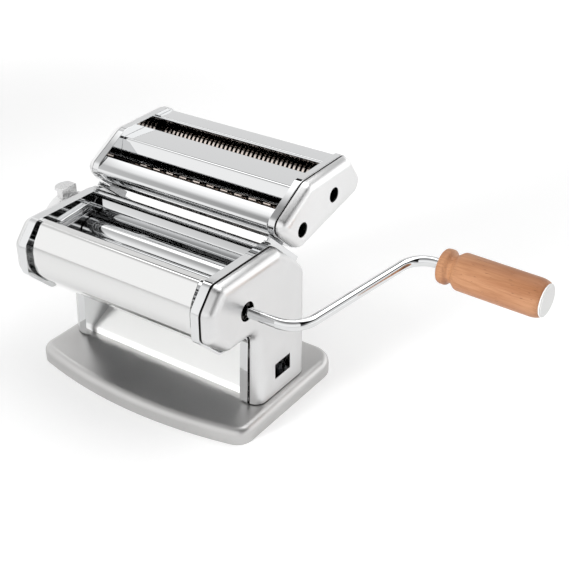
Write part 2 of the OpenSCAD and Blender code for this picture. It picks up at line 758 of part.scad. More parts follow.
// Front roller, its gear, and the crank's socket in its right journal
module socket_cut(p, end, depth) {
  round_x(p, end - depth, end + 1, rod_r + run_gap);
  translate([end - 2.6 - pin_r - 0.3, p[0] - slot_w / 2, p[1] - 20])
    cube([10, slot_w, 40]);
}
module front_roller() {
  p = [front_axis_y, roller_z];
  color(BRIGHT) difference() {
    union() {
      round_x(p, -roller_x, roller_x, roller_r);
      round_x(p, -frame_x - frame_t - 2, -roller_x + eps, journal_r);
      round_x(p, roller_x - eps, socket_end, journal_r);
    }
    socket_cut(p, socket_end, socket_depth);
  }
}
module front_gear() {
  color(STEEL) translate([gear_x, front_axis_y, roller_z]) side() linear_extrude(gear_w) difference() {
    gear_shape(gear_teeth, gear_module, gear_play);
    circle(journal_r);
  }
}

// Crank: bent rod, cross pin, washer, grip and cap
rod_in = socket_end - socket_depth + 0.5;
bend_x = cover_out + crank_out;
arm_dir = [sin(arm_lean), cos(arm_lean)];
grip_dir = [cos(grip_tilt), -sin(grip_tilt)];
elbow = [bend_x, 0] + arm_len * arm_dir;
rod_end = elbow + (grip_from + grip_len - cap_t - 3) * grip_dir;
module crank_plane() {
  translate([0, front_axis_y, roller_z]) rotate([arm_lift, 0, 0]) children();
}
module on_grip(s) {
  p = elbow + s * grip_dir;
  crank_plane() translate([p[0], p[1], 0]) rotate([0, 90, heading(grip_dir)]) children();
}
module crank_rod() {
  color(BRIGHT) difference() {
    crank_plane() bent_rod([[rod_in, 0, 1], [bend_x, 0, bend_r], [elbow[0], elbow[1], bend_r],
      [rod_end[0], rod_end[1], 1]], rod_r);
    translate([pin_x, front_axis_y, roller_z - 20]) cylinder(h = 40, r = pin_r);
  }
}
module crank_pin() {
  color(STEEL) translate([pin_x, front_axis_y, roller_z - journal_r + 1])
    cylinder(h = 2 * journal_r - 2, r = pin_r);
}
module grip_washer() {
  color(BRIGHT) on_grip(grip_from - 1.4) difference() {
    cylinder(h = 1.2, r = rod_r + 2.6);
    translate([0, 0, -1]) cylinder(h = 4, r = rod_r);
  }
}
function blend(a, b, t) = a + (b - a) * (1 - cos(180 * t)) / 2;
function grip_radius(s) =
  s < 0.03 ? collar_d / 2 - 1 + sqrt(1 - pow(1 - s / 0.03, 2)) :
  s < 0.06 ? collar_d / 2 :
  s < 0.11 ? blend(collar_d / 2, neck_d / 2, (s - 0.06) / 0.05) :
  s < 0.20 ? blend(neck_d / 2, grip_d / 2, (s - 0.11) / 0.09) :
  s < 0.90 ? grip_d / 2 :
  grip_d / 2 - 3 + 3 * sqrt(max(0, 1 - pow((s - 0.90) / 0.10, 2) * 0.9));
grip_steps = concat([0, 0.008, 0.03, 0.06], [for (i = [1 : 6]) 0.06 + 0.05 * i / 6],
  [for (i = [1 : 9]) 0.11 + 0.01 * i], [for (i = [0 : 8]) 0.90 + 0.0125 * i]);
grip_body = grip_len - cap_t;
module grip() {
  color(WOOD) on_grip(grip_from) difference() {
    rotate_extrude() polygon(concat([[0, 0]], [for (s = grip_steps) [grip_radius(s), s * grip_body]],
      [[0, grip_body]]));
    translate([0, 0, -1]) cylinder(h = grip_body - 1, r = rod_r + run_gap);
  }
}
module grip_cap() {
  r = grip_radius(1);
  color(WHITE) on_grip(grip_from + grip_body) {
    cylinder(h = cap_t - 0.6, r = r);
    cylinder(h = cap_t, r = r - 1);
  }
}

// Adjusting axle: its thin middle carries the rear roller off centre
knob_x = cover_out + dial_t + 0.4;
axle_left = knob_x + knob_skirt - 5.5;
axle_right = bridge_x - 0.5;
module eccentric_axle() {
  main = [rear_y, axle_z];
  color(STEEL) {
    round_x(main, -axle_left, -frame_x, axle_journal_r);
    round_x([rear_y, roller_z], -frame_x - eps, axle_right + eps, axle_r);
    round_x(main, axle_right, bridge_x + bridge_t + 0.6, axle_journal_r);
  }
}
module knob() {
  color(SATIN) to_left() difference() {
    translate([knob_x, rear_y, axle_z]) {
      side() rotate_extrude() polygon([[0, 0], [knob_r - 1, 0], [knob_r, 1],
        [knob_top_r, knob_skirt - 1.4], [knob_top_r - 1.4, knob_skirt], [0, knob_skirt]]);
      translate([0, 0, -wing_half]) linear_extrude(2 * wing_half) intersection() {
        wing_shape();
        translate([0, -wing_w]) square([wing_out - leaf_over, 2 * wing_w]);
      }
      for (z = [-wing_half, wing_half - leaf_t]) translate([0, 0, z]) linear_extrude(leaf_t) wing_shape();
    }
    round_x([rear_y, axle_z], knob_x - 1, axle_left + knob_travel + 0.5, axle_journal_r + run_gap);
    round_x([rear_y, axle_z + pin_place], knob_x - 1, knob_x + 4, knob_pin_r);
  }
}
// Outline of the wing's leaf: square towards the body, round outwards
module wing_shape() {
  big = 0.68 * wing_w;
  intersection() {
    translate([wing_out - big, 0]) circle(big);
    translate([0.6, -wing_w / 2]) square([wing_out, wing_w]);
  }
}
pin_place = knob_top_r - 6;
knob_pin_r = 1.5;
module knob_pin() {
  color(STEEL) to_left() round_x([rear_y, axle_z + pin_place], cover_out + 0.3, knob_x + 3.8, knob_pin_r);
}
module dial_plate() {
  half = knob_turn + 6;
  w = knob_pin_r + slide_gap;
  color(BRIGHT) to_left() translate([cover_out, rear_y, axle_z]) side() difference() {
    linear_extrude(dial_t) difference() {
      circle(knob_r - 2);
      circle(axle_journal_r + 1);
    }
    rotate([0, 0, 90 - half]) rotate_extrude(angle = 2 * half) translate([pin_place - w, -1])
      square([2 * w, dial_t + 2]);
  }
}

// Rear roller on its two bushes, which the axle shifts
module rear_bushes() {
  r = rear_bore_r - run_gap;
  rise = axle_throw * (1 - cos(knob_turn));
  hole = axle_r + slide_gap;
  color(BRONZE) for (x = [-roller_x, roller_x - 12]) translate([x, rear_y, roller_z]) side()
    linear_extrude(12) difference() {
      circle(r);
      circle(hole);
      translate([0, rise]) circle(hole);
      translate([-hole, 0]) square([2 * hole, rise]);
    }
}
module rear_roller() {
  p = [rear_y, roller_z];
  color(BRIGHT) {
    tube_x(p, -roller_x, roller_x, roller_r, rear_bore_r);
    tube_x(p, roller_x - eps, gear_x + gear_w, rear_bore_r + rear_wall, rear_bore_r);
  }
}
module rear_gear() {
  color(STEEL) translate([gear_x, rear_y, roller_z]) side() linear_extrude(gear_w) difference() {
    rotate(180 / gear_teeth) gear_shape(gear_teeth, gear_module, gear_play);
    circle(rear_bore_r + rear_wall);
  }
}

// Cutter frames and covers
module cutter_frame() {
  difference() {
    translate([cut_frame_out, 0, 0]) to_left() side()
      folded_dish(cut_outline, cutter_flange + frame_t, frame_t);
    for (p = [wide_a, wide_b, narrow_a, narrow_b])
      round_x(p, cut_x - 1, cut_frame_out, cut_journal_r + 1.6 + seat_gap);
    for (p = cut_ties) round_x(p, cut_x - 1, cut_frame_out, thread_r + 0.15);
  }
}
module cutter_right_frame() {
  color(BRIGHT) cutter_frame();
}
module cutter_left_frame() {
  color(BRIGHT) to_left() cutter_frame();
}
module cutter_cover() {
  translate([cut_cover_in, 0, 0]) side()
    pressed_dish(inset(cut_outline, cover_inset * 0.6, cutter_depth + 0.4), cutter_depth, cover_t, cutter_depth);
}
module cutter_right_cover() {
  color(SATIN) difference() {
    cutter_cover();
    for (p = [wide_a, narrow_a]) round_x(p, cut_cover_in, cut_cover_out + 1, cut_hole_d / 2);
  }
}
module cutter_left_cover() {
  color(SATIN) to_left() cutter_cover();
}

// Guards between the cutter's frames
guard_d = sheet_drop + sheet_t / 2;
guard_lip = cut_front + [15.5, 6.4];
mid_front = guard_lip + wide_inlet * unit([1, -0.147]);
mid_fold = mid_front + mid_wall * [sin(mid_lean), cos(mid_lean)];
mid_hem = mid_front - mid_skirt * [sin(mid_lean), cos(mid_lean)];
mid_rear = [mid_front[0] + mid_depth, mid_fold[1]];
module cutter_front_guard() {
  f = inset_corner(cut_outline, 5, guard_d);
  g = inset_corner(cut_outline, 6, guard_d);
  color(BRIGHT) bent_sheet([[guard_lip[0], guard_lip[1], 1], [guard_lip[0] - 6, guard_lip[1] - 3, 4],
    [f[0], f[1], 2.5], [g[0], g[1], 3], [g[0] + 5 * slope_dir[0], g[1] + 5 * slope_dir[1], 1]],
    sheet_t, -cut_x, cut_x);
}
module cutter_mid_cover() {
  color(BRIGHT) bent_sheet([[mid_rear[0] + 0.3, mid_rear[1] - 5, 1], [mid_rear[0], mid_rear[1], 1.5],
    [mid_fold[0], mid_fold[1], 2.5], [mid_hem[0], mid_hem[1], 1]], sheet_t, -cut_x, cut_x);
}
module cutter_rear_guard() {
  a = inset_corner(cut_outline, 3, guard_d);
  b = inset_corner(cut_outline, 2, guard_d);
  c = inset_corner(cut_outline, 1, guard_d);
  d = unit(cut_low - xy(cut_outline[1]));
  k = a - rear_sink / (a[1] - b[1]) * (a - b);
  edge = mid_rear[0] + narrow_inlet;
  color(BRIGHT) bent_sheet([[c[0] + 7 * d[0], c[1] + 7 * d[1], 1], [c[0], c[1], 6], [b[0], b[1], 6],
    [k[0], k[1], 3], [edge, k[1], 1.2], [edge, k[1] - rear_lip, 1]],
    sheet_t, -cut_x, cut_x);
}
module cutter_tie_rods() {
  color(STEEL) for (p = cut_ties) tie(p, cut_x, frame_t);
}
module cutter_tie_nuts() {
  color(STEEL) for (p = cut_ties) {
    nut(p, cut_x + frame_t);
    to_left() nut(p, cut_x + frame_t);
  }
}
module cutter_bushes() {
  color(BRONZE) for (p = [wide_a, wide_b, narrow_a, narrow_b]) {
    tube_x(p, cut_x, cut_x + frame_t + 0.8, cut_journal_r + 1.6, cut_journal_r + run_gap);
    to_left() tube_x(p, cut_x, cut_x + frame_t + 0.8, cut_journal_r + 1.6, cut_journal_r + run_gap);
  }
}

// Runner: a tongue in the rail, with a web up to the cutter's frame
tongue_low = rail_t + slide_gap;
tongue_high = rail_h - rail_t - slide_gap;
web_x = frame_x - 0.8;
web_t = 1.4;
foot_h = cut_seat + 0.4;
module runner() {
  on_slope(runner_from) linear_extrude(runner_len) polygon([
    [web_x - web_t, tongue_low], [rail_x - 1.2 - slide_gap, tongue_low],
    [rail_x - 1.2 - slide_gap, tongue_high], [web_x, tongue_high], [web_x, foot_h], [cut_x, foot_h],
    [cut_x, foot_h + 1.2], [web_x - web_t, foot_h + 1.2]]);
}
module right_runner() {
  color(STEEL) runner();
}
module left_runner() {
  color(STEEL) to_left() runner();
}

// Cutting rollers: rings on a core, the pair's rings in each other's gaps
ring_x = cut_x - 1;
function rings(pitch) = floor((2 * ring_x - 4) / pitch);
function ring_at(pitch, i, half) = (i - (rings(pitch) - 1) / 2) * pitch + (half ? pitch / 4 : -pitch / 4);
module ring_roller(p, pitch, half, right_end) {
  w = pitch / 2 - ring_play;
  difference() {
    union() {
      at_side(-ring_x, p) rotate_extrude() polygon(concat([[0, 0], [core_r, 0]],
        [for (i = [0 : rings(pitch) - 1]) let (x = ring_x + ring_at(pitch, i, half)) each [
          [core_r, x - w / 2], [ring_r, x - w / 2], [ring_r, x + w / 2], [core_r, x + w / 2]]],
        [[core_r, 2 * ring_x], [0, 2 * ring_x]]));
      round_x(p, -cut_gear_x - cut_gear_w, -ring_x + eps, cut_journal_r);
      round_x(p, ring_x - eps, right_end, cut_journal_r);
    }
    if (right_end > cut_frame_out) socket_cut(p, right_end, socket_depth - 3);
  }
}
cut_gear_x = cut_x + frame_t + 1.2;
cut_gear_w = gear_w - 0.6;
module cutter_gear(p) {
  translate([-cut_gear_x - cut_gear_w, p[0], p[1]]) side() linear_extrude(cut_gear_w) difference() {
    rotate(pair_slope) gear_shape(cut_teeth, cut_c / cut_teeth, 0.3);
    circle(cut_journal_r);
  }
}
plain_end = cut_x + frame_t + 1.2;
module wide_drive_cutter() {
  color(BRONZE) ring_roller(wide_a, wide_pitch, false, socket_in);
}
module wide_follower_cutter() {
  color(BRONZE) ring_roller(wide_b, wide_pitch, true, plain_end);
}
module narrow_drive_cutter() {
  color(BRONZE) ring_roller(narrow_a, narrow_pitch, false, socket_in);
}
module narrow_follower_cutter() {
  color(BRONZE) ring_roller(narrow_b, narrow_pitch, true, plain_end);
}
module wide_drive_gear() {
  color(STEEL) cutter_gear(wide_a);
}
module wide_follower_gear() {
  color(STEEL) cutter_gear(wide_b);
}
module narrow_drive_gear() {
  color(STEEL) cutter_gear(narrow_a);
}
module narrow_follower_gear() {
  color(STEEL) cutter_gear(narrow_b);
}

// Combs: a bar under each roller with a finger in each gap between rings
comb_w = 4;
module comb(p, pitch, half) {
  w = pitch / 2 - 2 * slide_gap;
  bar = ring_r + 0.7;
  translate([0, p[0] - comb_w / 2, p[1]]) {
    translate([-cut_x, 0, -bar - 3.3]) cube([2 * cut_x, comb_w, 3.3]);
    for (i = [0 : rings(pitch) - 2])
      translate([ring_at(pitch, i, half) + pitch / 2 - w / 2, 0, -bar - eps])
        cube([w, comb_w, bar - core_r - 0.6]);
  }
}
module wide_drive_comb() {
  color(STEEL) comb(wide_a, wide_pitch, false);
}
module wide_follower_comb() {
  color(STEEL) comb(wide_b, wide_pitch, true);
}
module narrow_drive_comb() {
  color(STEEL) comb(narrow_a, narrow_pitch, false);
}
module narrow_follower_comb() {
  color(STEEL) comb(narrow_b, narrow_pitch, true);
}

base_plate();
base_feet();
base_screws();
left_frame();
right_frame();
left_cover();
right_cover();
front_cover();
rear_cover();
rear_guide();
dough_guides();
pasta_chute();
front_scraper();
rear_scraper();
tie_rods();
tie_nuts();
leg_spacers();
front_bushes();
axle_bush();
gear_bridge();
left_rail();
right_rail();
dial_plate();
front_roller();
front_gear();
crank_rod();
crank_pin();
grip_washer();
grip();
grip_cap();
eccentric_axle();
knob();
knob_pin();
rear_bushes();
rear_roller();
rear_gear();
cutter_left_frame();
cutter_right_frame();
cutter_left_cover();
cutter_right_cover();
cutter_front_guard();
cutter_mid_cover();
cutter_rear_guard();
cutter_tie_rods();
cutter_tie_nuts();
cutter_bushes();
left_runner();
right_runner();
wide_drive_comb();
wide_follower_comb();
narrow_drive_comb();
narrow_follower_comb();
wide_drive_cutter();
wide_drive_gear();
wide_follower_cutter();
wide_follower_gear();
narrow_drive_cutter();
narrow_drive_gear();
narrow_follower_cutter();
narrow_follower_gear();
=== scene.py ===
"""Looks of a hand-cranked pasta machine with a slide-off noodle cutter."""

import json
import math

import bmesh
import bpy
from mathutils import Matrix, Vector

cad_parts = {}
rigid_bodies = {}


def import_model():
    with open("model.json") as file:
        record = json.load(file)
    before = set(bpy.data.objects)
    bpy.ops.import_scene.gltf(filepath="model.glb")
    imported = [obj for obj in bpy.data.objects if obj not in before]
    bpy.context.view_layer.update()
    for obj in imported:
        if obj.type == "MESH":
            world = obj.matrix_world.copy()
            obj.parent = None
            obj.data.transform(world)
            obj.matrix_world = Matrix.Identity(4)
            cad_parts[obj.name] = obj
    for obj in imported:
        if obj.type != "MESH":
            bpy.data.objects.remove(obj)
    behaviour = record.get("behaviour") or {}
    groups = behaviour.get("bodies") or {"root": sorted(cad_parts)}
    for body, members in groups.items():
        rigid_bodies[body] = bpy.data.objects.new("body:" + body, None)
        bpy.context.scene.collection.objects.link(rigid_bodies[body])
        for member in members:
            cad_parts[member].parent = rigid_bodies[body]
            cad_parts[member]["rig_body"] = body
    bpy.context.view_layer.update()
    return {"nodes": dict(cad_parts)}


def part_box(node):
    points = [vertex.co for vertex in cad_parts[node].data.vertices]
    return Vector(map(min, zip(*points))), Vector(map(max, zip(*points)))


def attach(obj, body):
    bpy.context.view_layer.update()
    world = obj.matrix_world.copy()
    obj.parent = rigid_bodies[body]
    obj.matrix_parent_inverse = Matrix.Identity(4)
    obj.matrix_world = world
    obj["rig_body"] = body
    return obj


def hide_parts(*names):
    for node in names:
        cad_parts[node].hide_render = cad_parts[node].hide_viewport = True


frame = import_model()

MM = 0.001
nodes = frame["nodes"]

# Camera
CAMERA_PLACE = (0.4705, -0.5371, 0.4918)
CAMERA_AZIMUTH = 34.824
CAMERA_ELEVATION = 30.549
CAMERA_LENS = 69.105


def make_camera():
    data = bpy.data.cameras.new("camera")
    data.lens = CAMERA_LENS
    data.sensor_width = 36.0
    data.clip_start = 0.01
    camera = bpy.data.objects.new("camera", data)
    camera.location = CAMERA_PLACE
    camera.rotation_euler = (math.radians(90 - CAMERA_ELEVATION), 0, math.radians(CAMERA_AZIMUTH))
    bpy.context.scene.collection.objects.link(camera)
    bpy.context.scene.camera = camera


# Node trees
class Tree:
    """Adds nodes to a shader tree and joins them."""

    def __init__(self, tree):
        self.tree = tree

    def add(self, kind, settings=None, **inputs):
        node = self.tree.nodes.new("ShaderNode" + kind)
        for name, value in (settings or {}).items():
            setattr(node, name, value)
        for name, value in inputs.items():
            self.set(node, name.replace("_", " "), value)
        return node

    def set(self, node, name, value):
        socket = node.inputs[int(name)] if name.isdigit() else node.inputs[name]
        if isinstance(value, bpy.types.NodeSocket):
            self.tree.links.new(value, socket)
        else:
            socket.default_value = value

    def link(self, source, target):
        self.tree.links.new(source, target)

    def math(self, operation, a, b=0.0, clamp=False):
        node = self.add("Math", {"operation": operation, "use_clamp": clamp})
        self.set(node, "0", a)
        self.set(node, "1", b)
        return node.outputs[0]

    def fit(self, value, low, high, to_low=0.0, to_high=1.0):
        """Eases a value from one pair of limits to another."""
        node = self.add("MapRange", {"interpolation_type": "SMOOTHSTEP"}, Value=value)
        limits = (("From Min", low), ("From Max", high), ("To Min", to_low), ("To Max", to_high))
        for name, limit in limits:
            self.set(node, name, limit)
        return node.outputs["Result"]

    def noise(self, vector, scale, detail=2.0, roughness=0.5):
        node = self.add("TexNoise", Vector=vector, Scale=scale, Detail=detail, Roughness=roughness)
        return node.outputs["Fac"]

    def stretched(self, vector, scale):
        node = self.add("Mapping", Vector=vector)
        node.inputs["Scale"].default_value = scale
        return node.outputs["Vector"]

    def mix_colour(self, factor, a, b):
        node = self.add("Mix", {"data_type": "RGBA"})
        self.set(node, "0", factor)
        self.set(node, "6", a)
        self.set(node, "7", b)
        return node.outputs[2]


def rgba(colour):
    return (*colour, 1.0)


def make_group(name, inputs, outputs):
    """An empty shader group: inputs are (name, kind, default), outputs are (name, kind)."""
    group = bpy.data.node_groups.new(name, "ShaderNodeTree")
    for label, kind, default in inputs:
        socket = group.interface.new_socket(label, in_out="INPUT", socket_type="NodeSocket" + kind)
        if default is not None:
            socket.default_value = default
    for label, kind in outputs:
        group.interface.new_socket(label, in_out="OUTPUT", socket_type="NodeSocket" + kind)
    tree = Tree(group)
    entry = group.nodes.new("NodeGroupInput")
    leave = group.nodes.new("NodeGroupOutput")
    return group, tree, entry, leave


def handling_group():
    """Finger smudges and fine wiping marks, as one roughness value."""
    group, t, entry, leave = make_group(
        "handling",
        [("Vector", "Vector", None), ("Clean", "Float", 0.05), ("Smudged", "Float", 0.12)],
        [("Roughness", "Float")])
    broad = t.noise(entry.outputs["Vector"], 22.0, 4.0, 0.6)
    streaks = t.noise(t.stretched(entry.outputs["Vector"], (30, 260, 260)), 1.0, 3.0, 0.6)
    amount = t.math("MULTIPLY", t.fit(broad, 0.35, 0.75), t.fit(streaks, 0.3, 0.8))
    spread = t.math("SUBTRACT", entry.outputs["Smudged"], entry.outputs["Clean"])
    value = t.math("ADD", entry.outputs["Clean"], t.math("MULTIPLY", spread, amount))
    t.link(value, leave.inputs["Roughness"])
    return group


def satin_group():
    """Fine grain of blasted sheet: a height, and a mottling of tone."""
    group, t, entry, leave = make_group(
        "satin", [("Vector", "Vector", None)], [("Height", "Float"), ("Tone", "Float")])
    place = entry.outputs["Vector"]
    fine = t.noise(place, 4200.0, 2.0, 0.7)
    coarse = t.noise(place, 1500.0, 2.0, 0.6)
    cloud = t.noise(place, 16.0, 3.0, 0.55)
    height = t.math("ADD", t.math("MULTIPLY", fine, 0.6), t.math("MULTIPLY", coarse, 0.4))
    tone = t.math("ADD", t.math("MULTIPLY", cloud, 0.7), t.math("MULTIPLY", coarse, 0.3))
    t.link(height, leave.inputs["Height"])
    t.link(tone, leave.inputs["Tone"])
    return group


def wear_group():
    """Where edges are rubbed bright: 1 on a worn edge, 0 elsewhere."""
    group, t, entry, leave = make_group(
        "edge_wear", [("Vector", "Vector", None)], [("Wear", "Float")])
    edge = t.fit(t.add("NewGeometry").outputs["Pointiness"], 0.52, 0.6)
    patches = t.fit(t.noise(entry.outputs["Vector"], 140.0, 3.0, 0.6), 0.35, 0.65)
    t.link(t.math("MULTIPLY", edge, patches), leave.inputs["Wear"])
    return group


def seam_shade_group():
    """Painted shade of a side cover: a dark gap along its open edge and a painted contact shadow along its
    lowest edge. 1 in the line, 0 elsewhere.
    """
    group, t, entry, leave = make_group(
        "seam_shade",
        [("Vector", "Vector", None), ("Inner", "Float", 0.0), ("Foot", "Float", 0.0),
         ("Black", "Float", 0.0005), ("Clean", "Float", 0.001)],
        [("Mask", "Float")])
    place = t.add("SeparateXYZ", Vector=entry.outputs["Vector"]).outputs
    from_inner = t.math("SUBTRACT", t.math("ABSOLUTE", place["X"]), entry.outputs["Inner"])
    from_foot = t.math("SUBTRACT", place["Z"], entry.outputs["Foot"])
    nearest = t.math("MINIMUM", from_inner, from_foot)
    # Painted shade: 1 in the joint gap and at the foot, where a shadow falls.
    mask = t.fit(nearest, entry.outputs["Black"], entry.outputs["Clean"], 1.0, 0.0)
    t.link(mask, leave.inputs["Mask"])
    return group


def ring_depth_group():
    """The deep places between the rings of a roller, where painted shade goes: 1 at the bottom, 0 on the
    rings.
    """
    group, t, entry, leave = make_group(
        "ring_depth",
        [("Vector", "Vector", None), ("Axis", "Vector", (0.0, 0.0, 0.0)), ("Radius", "Float", 0.01),
         ("Clean", "Float", 0.0005), ("Dark", "Float", 0.0013)],
        [("Mask", "Float")])
    offset = t.add("VectorMath", {"operation": "SUBTRACT"})
    t.set(offset, "0", entry.outputs["Vector"])
    t.set(offset, "1", entry.outputs["Axis"])
    across = t.add("VectorMath", {"operation": "LENGTH"})
    t.set(across, "0", t.stretched(offset.outputs[0], (0, 1, 1)))
    depth = t.math("SUBTRACT", entry.outputs["Radius"], across.outputs["Value"])
    t.link(t.fit(depth, entry.outputs["Clean"], entry.outputs["Dark"]), leave.inputs["Mask"])
    return group


HANDLING = handling_group()
SATIN = satin_group()
WEAR = wear_group()
SEAM_SHADE = seam_shade_group()
RING_DEPTH = ring_depth_group()


# Near black: old oil on the roller ends, and painted shade in the side-cover joints and between the cutter
# rings.
OIL_AND_SHADE_BLACK = (0.018, 0.016, 0.015)
ROLLER_END = (76.5 * MM, 78.5 * MM)


def start_material(name):
    """A new material: its tree, its shader and the object's own coordinates."""
    material = bpy.data.materials.new(name)
    material.use_nodes = True
    t = Tree(material.node_tree)
    shader = material.node_tree.nodes["Principled BSDF"]
    place = t.add("TexCoord").outputs["Object"]
    return material, t, shader, place


def use_group(t, group, **inputs):
    node = t.add("Group", {"node_tree": group})
    for name, value in inputs.items():
        t.set(node, name, value)
    return node.outputs


def bump(t, shader, height, distance):
    node = t.add("Bump", Height=height, Distance=distance, Strength=1.0)
    t.link(node.outputs["Normal"], shader.inputs["Normal"])


def satin_metal(name, dark, light, rough, depth, oil_and_shade_mask=None):
    """Pressed sheet with a fine satin grain, mottled a little, its edges rubbed smooth.

    The mask argument marks the places mixed to near black: painted shade in the side-cover joints and
    between the cutter rings.
    """
    material, t, shader, place = start_material(name)
    grain = use_group(t, SATIN, Vector=place)
    wear = use_group(t, WEAR, Vector=place)["Wear"]
    tone = t.fit(grain["Tone"], 0.3, 0.7)
    colour = t.mix_colour(tone, rgba(dark), rgba(light))
    # Painted shade: the masked places are mixed to near black.
    if oil_and_shade_mask:
        colour = t.mix_colour(oil_and_shade_mask(t, place), colour, rgba(OIL_AND_SHADE_BLACK))
    t.link(colour, shader.inputs["Base Color"])
    plain = t.fit(grain["Tone"], 0.3, 0.7, rough - 0.03, rough + 0.04)
    t.link(t.math("SUBTRACT", plain, t.math("MULTIPLY", wear, 0.1)), shader.inputs["Roughness"])
    shader.inputs["Metallic"].default_value = 1.0
    bump(t, shader, grain["Height"], depth)
    return material


def roller_ends(t, place):
    """A mask of the greasy ends of the flat rollers, by the distance from the middle plane."""
    out = t.math("ABSOLUTE", t.add("SeparateXYZ", Vector=place).outputs["X"])
    return t.fit(out, *ROLLER_END)


def ring_gap_shade(node_name):
    """Places the painted shade between the rings of a roller, whose axis and size are its node's."""
    low, high = (Vector(corner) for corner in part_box(node_name))
    middle = (low + high) / 2
    radius = (high.z - low.z) / 2
    return lambda t, place: use_group(t, RING_DEPTH, Vector=place, Axis=middle, Radius=radius)["Mask"]


def cover_seam_shade(node_name):
    """Places the painted joint shade and foot shadow of a pair of side covers, from the box of one of them.
    """
    low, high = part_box(node_name)
    inner = min(abs(low[0]), abs(high[0]))
    return lambda t, place: use_group(t, SEAM_SHADE, Vector=place, Inner=inner, Foot=low[2])["Mask"]


def bright_metal(name, colour, clean, smudged, ripple=0.0, oil_and_shade_mask=None):
    """Chromed or polished sheet with faint smudges."""
    material, t, shader, place = start_material(name)
    rough = use_group(t, HANDLING, Vector=place, Clean=clean, Smudged=smudged)["Roughness"]
    t.link(rough, shader.inputs["Roughness"])
    shader.inputs["Base Color"].default_value = rgba(colour)
    if oil_and_shade_mask:
        t.link(t.mix_colour(oil_and_shade_mask(t, place), rgba(colour), rgba(OIL_AND_SHADE_BLACK)), shader.inputs["Base Color"])
    shader.inputs["Metallic"].default_value = 1.0
    if ripple:
        bump(t, shader, t.noise(place, 45.0, 1.0, 0.4), ripple)
    return material


def beech(name):
    """Turned beech: straight grain along the grip and short dark flecks."""
    material, t, shader, place = start_material(name)
    broad = t.noise(t.stretched(place, (9, 75, 75)), 1.0, 4.0, 0.55)
    fibre = t.noise(t.stretched(place, (55, 900, 900)), 1.0, 3.0, 0.6)
    fleck = t.noise(t.stretched(place, (170, 1150, 1150)), 1.0, 2.0, 0.5)
    base = t.mix_colour(t.fit(broad, 0.3, 0.7), rgba((0.345, 0.14, 0.058)), rgba((0.495, 0.25, 0.128)))
    lined = t.mix_colour(t.fit(fibre, 0.38, 0.72, 0.0, 0.45), base, rgba((0.27, 0.107, 0.045)))
    marks = t.fit(fleck, 0.66, 0.74)
    t.link(t.mix_colour(t.math("MULTIPLY", marks, 0.75), lined, rgba((0.125, 0.046, 0.021))),
           shader.inputs["Base Color"])
    t.link(t.fit(fibre, 0.3, 0.7, 0.42, 0.55), shader.inputs["Roughness"])
    height = t.math("SUBTRACT", t.math("MULTIPLY", fibre, 0.5), marks)
    bump(t, shader, height, 0.00006)
    shader.inputs["Coat Weight"].default_value = 0.06
    shader.inputs["Coat Roughness"].default_value = 0.3
    return material


def plain_finish(name, dark, light, rough, depth=0.00002):
    """Rubber or moulded plastic: a slight variation of tone and a fine skin."""
    material, t, shader, place = start_material(name)
    grain = use_group(t, SATIN, Vector=place)
    tone = t.fit(grain["Tone"], 0.3, 0.7)
    t.link(t.mix_colour(tone, rgba(dark), rgba(light)), shader.inputs["Base Color"])
    t.link(t.fit(grain["Tone"], 0.3, 0.7, rough - 0.05, rough + 0.05), shader.inputs["Roughness"])
    bump(t, shader, grain["Height"], depth)
    return material


# Depths of the grain in metres
FINE = 0.000006
FINER = 0.000004
FINISHES = {
    "base": satin_metal("base_satin", (0.51, 0.505, 0.50), (0.57, 0.565, 0.56), 0.36, FINE),
    # The side covers and cutter covers carry painted shade along their joints and a painted contact shadow
    # along their feet.
    "cover": satin_metal("cover_satin", (0.67, 0.67, 0.67), (0.74, 0.74, 0.74), 0.33, FINE,
                         cover_seam_shade("right_cover")),
    # The cutter covers are the same satin sheet as the side covers. Their lighter colour is painted light.
    "cutter_cover": satin_metal("cover_satin_painted_lighter", (0.76, 0.76, 0.76), (0.83, 0.83, 0.83), 0.33, FINE,
                                cover_seam_shade("cutter_right_cover")),
    "chrome": bright_metal("chrome", (0.69, 0.695, 0.70), 0.035, 0.10),
    "sheet": bright_metal("polished_sheet", (0.73, 0.73, 0.725), 0.09, 0.15, ripple=0.00002),
    "roller": bright_metal("ground_roller", (0.69, 0.695, 0.70), 0.07, 0.14, oil_and_shade_mask=roller_ends),
    "steel": satin_metal("plain_steel", (0.33, 0.335, 0.34), (0.44, 0.445, 0.45), 0.30, FINE),
    "bronze": satin_metal("pale_bronze", (0.58, 0.51, 0.46), (0.78, 0.70, 0.64), 0.22, FINER),
    "pale": plain_finish("pale_sheet", (0.90, 0.90, 0.89), (0.94, 0.94, 0.93), 0.35, FINER),
    "knob": satin_metal("knob_metal", (0.68, 0.68, 0.68), (0.78, 0.78, 0.78), 0.28, FINE),
    "wood": beech("beech"),
    "cap": plain_finish("cap_white", (0.78, 0.78, 0.77), (0.86, 0.86, 0.85), 0.35, FINE),
    "rubber": plain_finish("black_rubber", (0.02, 0.02, 0.02), (0.04, 0.04, 0.04), 0.7),
}
RING_DARK = (0.62, 0.54, 0.49)
RING_LIGHT = (0.82, 0.74, 0.68)
RING_ROLLERS = ["wide_drive_cutter", "wide_follower_cutter", "narrow_drive_cutter", "narrow_follower_cutter"]
for ring_node in RING_ROLLERS:
    # Painted shade: the deep places between the rings are mixed to near black.
    FINISHES[ring_node] = satin_metal(ring_node, RING_DARK, RING_LIGHT, 0.20, FINER, ring_gap_shade(ring_node))

